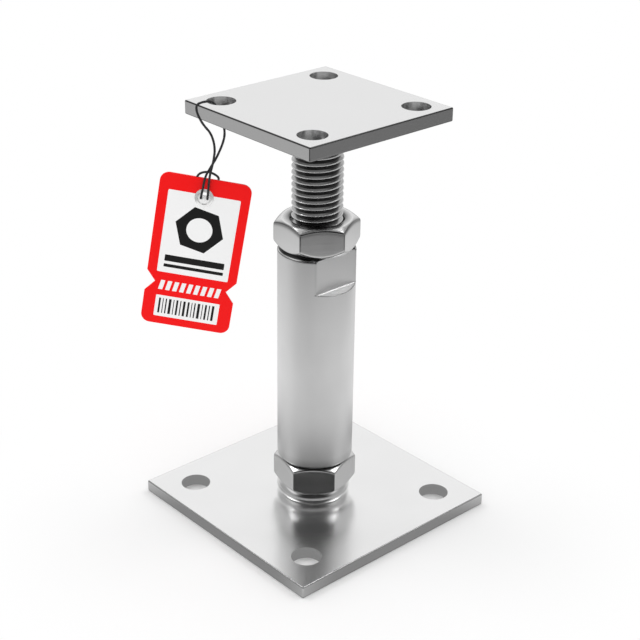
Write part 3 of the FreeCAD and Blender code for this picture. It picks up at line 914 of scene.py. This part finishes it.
# Painted shade: the lower nut's steel is set darker than the upper nut's, and both get painted shade on their
# creases.
for nut, name, tone in ((lower_nut, "shaded_lower_nut_steel", 0.70), (upper_nut, "upper_nut_steel", 0.85)):
    bright = turned_steel(name, tone, rough=(0.16, 0.22), relief=0.03)
    dress(nut, at_edges(bright, "crease_shade", painted_tone=0.12, edge_roughness=0.20))
print("sleeve and nuts dressed")

# %% [markdown]
# The thread's tone falls from its crests to its roots: the crests keep the bright steel, and the flanks and
# the roots get painted shade. The distance from the axis tells one from the other, so no image map is used.

# %% Thread steel
# Painted shade: the roots and the flanks are darker than the crests.
ROOT_SHADE_TONE, FLANK_SHADE_TONE, CREST_TONE = 0.06, 0.44, 0.85
ROOT_DEPTH, FLANK_DEPTH = 1.8 * MM, 1.1 * MM
CREST_START_DEPTH, CREST_DEPTH = 0.35 * MM, 0.05 * MM


def worn_finish(name, colour, metallic, scale, rough, relief=None, detail=2.0):
    """One colour whose roughness, and relief if it has one, follow the same noise."""
    material = new_material(name, colour, metallic)
    tree, shader = material.node_tree, shader_of(material)
    wear = stretched_noise(tree, scale, detail)
    tree.links.new(spread(tree, wear, *rough), shader.inputs["Roughness"])
    if relief:
        roughen(tree, shader, wear, *relief)
    return material


def thread_steel():
    """Rolled steel whose tone rises from root to flank to crest, with painted shade in the roots and on the
    flanks.
    """
    material = worn_finish(
        "rolled_thread_steel", (CREST_TONE, CREST_TONE, CREST_TONE), metallic=1.0, scale=(300, 300, 900),
        rough=(0.16, 0.26), relief=(0.05, 0.05 * MM), detail=3.0,
    )
    tree = material.node_tree
    place = tree.nodes.new("ShaderNodeTexCoord").outputs["Object"]
    radius = part_length(tree, place, LEVEL)
    crest = radius_of("upper_rod")
    flank = smooth_step(tree, radius, crest - ROOT_DEPTH, crest - FLANK_DEPTH, ROOT_SHADE_TONE, FLANK_SHADE_TONE)
    at_crest = smooth_step(tree, radius, crest - CREST_START_DEPTH, crest - CREST_DEPTH)
    tone = blend_tones(tree, at_crest, flank, CREST_TONE)
    tree.links.new(tone, shader_of(material).inputs["Base Color"])
    return material


thread_finish = thread_steel()
dress(upper_thread, thread_finish)
dress(lower_thread, thread_finish)
print("threads dressed")

# %% [markdown]
# The weld was brushed after it was laid, which leaves it bright with broad, low ripples. They are far finer
# than its shape, so they are relief in its material and not more rows in its mesh.

# %% Weld steel
weld_steel = worn_finish(
    "brushed_weld_steel", (0.78, 0.78, 0.78), metallic=1.0, scale=(240, 240, 160),
    rough=(0.16, 0.22), relief=(0.05, 0.2 * MM),
)
dress(weld, weld_steel)
print("weld dressed")

# %% [markdown]
# The card is laminated: flat ink under a clear film. A little waviness in the film breaks up its shine. The
# eyelet is rolled from bright metal, and the cord is a dull black braid. The tag and its cord stay out of
# mirror images, because the real plates show no clear image of either.

# %% Tag, eyelet and cord finishes
def laminated(name, colour):
    """Ink of one colour under a faintly wavy film."""
    material = worn_finish(
        name, colour, metallic=0.0, scale=(120, 120, 120), rough=(0.30, 0.38), relief=(0.06, 0.2 * MM),
    )
    shader_of(material).inputs["Specular IOR Level"].default_value = 0.2
    return material


def braided_cord():
    """Dull black fibre, speckled between two dark tones."""
    material = new_material("black_braided_cord")
    tree, shader = material.node_tree, shader_of(material)
    weave = stretched_noise(tree, (2600, 2600, 2600), detail=1.0)
    ramp = tree.nodes.new("ShaderNodeValToRGB")
    tones = ((0.35, (0.006, 0.006, 0.007, 1)), (0.65, (0.045, 0.045, 0.048, 1)))
    for element, (position, colour) in zip(ramp.color_ramp.elements, tones):
        element.position, element.color = position, colour
    tree.links.new(weave, ramp.inputs["Fac"])
    tree.links.new(ramp.outputs["Color"], shader.inputs["Base Color"])
    shader.inputs["Roughness"].default_value = 0.75
    roughen(tree, shader, weave, 0.4, 0.1 * MM)
    return material


tag_red = laminated("red_laminate", (0.95, 0.0015, 0.002))
ink_white = laminated("white_ink", (0.93, 0.93, 0.93))
ink_black = laminated("black_ink", (0.012, 0.012, 0.012))
eyelet_metal = worn_finish(
    "rolled_eyelet_metal", (0.90, 0.90, 0.90), metallic=0.45, scale=(900, 900, 900), rough=(0.12, 0.22),
)
dress(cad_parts["tag_card"], tag_red)
dress(tag_white, ink_white)
dress(tag_black, ink_black)
dress(tag_nut_hole, ink_white)
dress(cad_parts["tag_eyelet"], eyelet_metal)
dress(tag_cord, braided_cord())
for piece in (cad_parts["tag_card"], tag_white, tag_black, tag_nut_hole, tag_cord):
    piece.visible_glossy = False
print("tag dressed")

# %% [markdown]
# ## The studio
# Polished metal shows its surroundings more than its own colour, so the room matters as much as the lamps.
# The room has a pale wall behind the object, greyer walls with a bright window at each side, a dark ceiling,
# and darkness above a pale skirting where the camera stands. That darkness draws the nearly black facet on
# the lower nut, and the side windows light the chamfers. Built walls would cast shadows and fill the view, so
# the room is only a world of tones. Camera rays see plain white instead, so the background is clean and the
# floor keeps only the soft shadow.

# %% The room's directions
CAMERA_SIDE = (math.sin(CAMERA_AZIMUTH), -math.cos(CAMERA_AZIMUTH), 0.0)
CAMERA_RIGHT = (math.cos(CAMERA_AZIMUTH), math.sin(CAMERA_AZIMUTH), 0.0)


def mix_shaders(tree, share, first, second):
    """One shader that turns into another by a share."""
    mix = tree.nodes.new("ShaderNodeMixShader")
    tree.links.new(share, mix.inputs["Fac"])
    tree.links.new(first, mix.inputs[1])
    tree.links.new(second, mix.inputs[2])
    return mix.outputs[0]


def towards(tree, vector, direction, low, high):
    """0 away from a level direction and 1 towards it, whatever the vector's height."""
    unit = vector_value(tree, "NORMALIZE", vector_value(tree, "MULTIPLY", vector, LEVEL))
    return smooth_step(tree, vector_value(tree, "DOT_PRODUCT", unit, direction), low, high)


print("camera side", [round(v, 2) for v in CAMERA_SIDE], "and right", [round(v, 2) for v in CAMERA_RIGHT])

# %% [markdown]
# Each tone of the room passes smoothly into the next, because a sharp step would draw a hard line in steel.
# A step in height is given as two sines of the angle above level, where it begins and where it ends, and a
# step round the room as two cosines of the angle to the middle of a wall.

# %% The world
ROOM_LIGHT = 1.0
WHITE = (1, 1, 1, 1)
WALL_PAINT = (0.8, 0.8, 0.8, 1)
BACK_WALL_TONE, BACK_WALL_ROUND = 1.06, (0.45, 0.85)
SIDE_WALL_TONE = 0.50
SIDE_WINDOW_TONE, SIDE_WINDOW_ROUND = 1.10, (0.80, 0.95)
WINDOW_FOOT, WINDOW_TOP = (0.48, 0.56), (0.92, 0.97)
CEILING_TONE, CEILING_START = 0.08, (0.69, 0.75)
CAMERA_SIDE_TONE, CAMERA_SIDE_ROUND = 0.02, (0.35, 0.80)
SKIRTING_TONE, SKIRTING_TOP = 0.45, (0.24, 0.36)


def room_tone(tree, direction):
    """How bright the room looks in the steel in a direction."""
    height = vector_value(tree, "DOT_PRODUCT", direction, UPRIGHT)
    to_left = tuple(-v for v in CAMERA_RIGHT)
    to_back = tuple(-v for v in CAMERA_SIDE)
    back = towards(tree, direction, to_back, *BACK_WALL_ROUND)
    tone = blend_tones(tree, back, SIDE_WALL_TONE, BACK_WALL_TONE)
    tone = blend_tones(tree, smooth_step(tree, height, *CEILING_START), tone, CEILING_TONE)
    window = smooth_step(tree, height, *WINDOW_TOP, SIDE_WINDOW_TONE, CEILING_TONE)
    window_height = smooth_step(tree, height, *WINDOW_FOOT)
    for side in (to_left, CAMERA_RIGHT):
        at_side = towards(tree, direction, side, *SIDE_WINDOW_ROUND)
        here = combine(tree, "MULTIPLY", at_side, window_height)
        tone = blend_tones(tree, here, tone, window)
    camera_side = towards(tree, direction, CAMERA_SIDE, *CAMERA_SIDE_ROUND)
    dark_side = smooth_step(tree, height, *SKIRTING_TOP, SKIRTING_TONE, CAMERA_SIDE_TONE)
    return blend_tones(tree, camera_side, tone, dark_side)


def build_world():
    """Even white light, the room's tones for mirror images, and white for what the camera sees."""
    world = bpy.data.worlds.new("studio_room")
    bpy.context.scene.world = world
    world.use_nodes = True
    tree = world.node_tree
    light = tree.nodes["Background"]
    light.inputs["Color"].default_value = WHITE
    light.inputs["Strength"].default_value = ROOM_LIGHT
    direction = tree.nodes.new("ShaderNodeTexCoord").outputs["Generated"]
    mirrored = add_node(tree, "ShaderNodeBackground", Color=WALL_PAINT)
    tree.links.new(room_tone(tree, direction), mirrored.inputs["Strength"])
    seen = add_node(tree, "ShaderNodeBackground", Color=WHITE, Strength=1.0)
    rays = tree.nodes.new("ShaderNodeLightPath").outputs
    room = mix_shaders(tree, rays["Is Glossy Ray"], light.outputs[0], mirrored.outputs[0])
    whole = mix_shaders(tree, rays["Is Camera Ray"], room, seen.outputs[0])
    tree.links.new(whole, tree.nodes["World Output"].inputs["Surface"])


build_world()
print("world ready")

# %% [markdown]
# The floor is white paper. In the steel it is a glow of painted tones: painted shade close to the plate,
# where the plate shades it, and darker again far out, where the lamps no longer reach, more so in front than
# behind and most of all in front to the left. Seen directly, it fades to pure white away from the object, so
# it has no horizon.

# %% The floor
FLOOR_SIZE = 8.0
FLOOR_SINK = 0.02 * MM
PAPER = (0.90, 0.90, 0.90)
PLATE_SHADE, OPEN_TONE, SHADE_SPAN = 0.22, 0.92, (0.07, 0.125)
BEHIND_TONE, BEHIND_SPAN = 0.38, (0.20, 0.50)
FRONT_TONE, LEFT_FRONT_TONE, FRONT_SPAN = 0.15, 0.02, (0.22, 0.36)
FRONT_WAY, FRONT_ROUND = (0.94, -0.34, 0.0), (-0.30, 0.25)
LEFT_FRONT_WAY, LEFT_FRONT_ROUND = (0.17, -0.98, 0.0), (0.75, 0.90)
WHITE_SPAN = (0.08, 0.18)


def floor_tone(tree, place, distance):
    """How bright the floor looks in the steel, as a painted glow, by distance from the object and by side."""
    near = smooth_step(tree, distance, *SHADE_SPAN, PLATE_SHADE, OPEN_TONE)
    far_behind = smooth_step(tree, distance, *BEHIND_SPAN)
    behind = blend_tones(tree, far_behind, near, BEHIND_TONE)
    left_front = towards(tree, place, LEFT_FRONT_WAY, *LEFT_FRONT_ROUND)
    front = blend_tones(tree, left_front, FRONT_TONE, LEFT_FRONT_TONE)
    far_in_front = smooth_step(tree, distance, *FRONT_SPAN)
    in_front = blend_tones(tree, far_in_front, near, front)
    return blend_tones(tree, towards(tree, place, FRONT_WAY, *FRONT_ROUND), behind, in_front)


def build_floor():
    """Paper that takes the shadow, turns white further out and shows a glow of painted tones in the steel."""
    corners = np.array([(-1, -1), (1, -1), (1, 1), (-1, 1)]) * FLOOR_SIZE / 2
    mesh = bpy.data.meshes.new("studio_floor")
    mesh.from_pydata([(x, y, -FLOOR_SINK) for x, y in corners], [], [(0, 1, 2, 3)])
    floor = bpy.data.objects.new("studio_floor", mesh)
    bpy.context.collection.objects.link(floor)
    material = new_material("studio_floor", PAPER)
    tree, shader = material.node_tree, shader_of(material)
    shader.inputs["Roughness"].default_value = 0.9
    shader.inputs["Specular IOR Level"].default_value = 0.0
    place = tree.nodes.new("ShaderNodeTexCoord").outputs["Object"]
    distance = vector_value(tree, "LENGTH", place)
    # Painted glow with painted shade: the floor's tones as the steel mirrors them.
    mirrored = tree.nodes.new("ShaderNodeEmission")
    tree.links.new(floor_tone(tree, place, distance), mirrored.inputs["Strength"])
    white = add_node(tree, "ShaderNodeEmission", Color=WHITE, Strength=1.0)
    rays = tree.nodes.new("ShaderNodeLightPath").outputs
    away = smooth_step(tree, distance, *WHITE_SPAN)
    seen_away = combine(tree, "MULTIPLY", away, rays["Is Camera Ray"])
    direct = mix_shaders(tree, seen_away, shader.outputs[0], white.outputs[0])
    whole = mix_shaders(tree, rays["Is Glossy Ray"], direct, mirrored.outputs[0])
    tree.links.new(whole, tree.nodes["Material Output"].inputs["Surface"])
    mesh.materials.append(material)


build_floor()
print("floor ready")

# %% [markdown]
# Two soft lamps hang high at the left and at the right of the camera's line, a little behind the object. They
# give the soft shadow round the plate. A point lamp would have no size, so its shadow would be too sharp.

# %% Lamps
LAMP_HEIGHT = 0.97
LAMP_BEHIND = 0.20
LAMP_SIZE = 0.24
LAMP_AIM = Vector((0, 0, 0.1))


def soft_lamp(name, sideways, watts):
    """A square lamp behind the object and to one side of the camera's line, aimed at the object's middle."""
    place = Vector(CAMERA_RIGHT) * sideways - Vector(CAMERA_SIDE) * LAMP_BEHIND + Vector((0, 0, LAMP_HEIGHT))
    lamp_data = bpy.data.lights.new(name, "AREA")
    lamp_data.shape = "SQUARE"
    lamp_data.size = LAMP_SIZE
    lamp_data.energy = watts
    lamp = bpy.data.objects.new(name, lamp_data)
    bpy.context.collection.objects.link(lamp)
    lamp.location = place
    lamp.rotation_euler = (LAMP_AIM - place).to_track_quat("-Z", "Y").to_euler()
    print(f"{name}: {watts} W")


soft_lamp("left_lamp", -0.55, 1.3)
soft_lamp("right_lamp", 0.55, 1.0)

# %% [markdown]
# ## View settings
# The Standard view transform shows each tone as it was worked out, where a film-like one would grey the
# white.

# %% View settings
bpy.context.scene.view_settings.view_transform = "Standard"
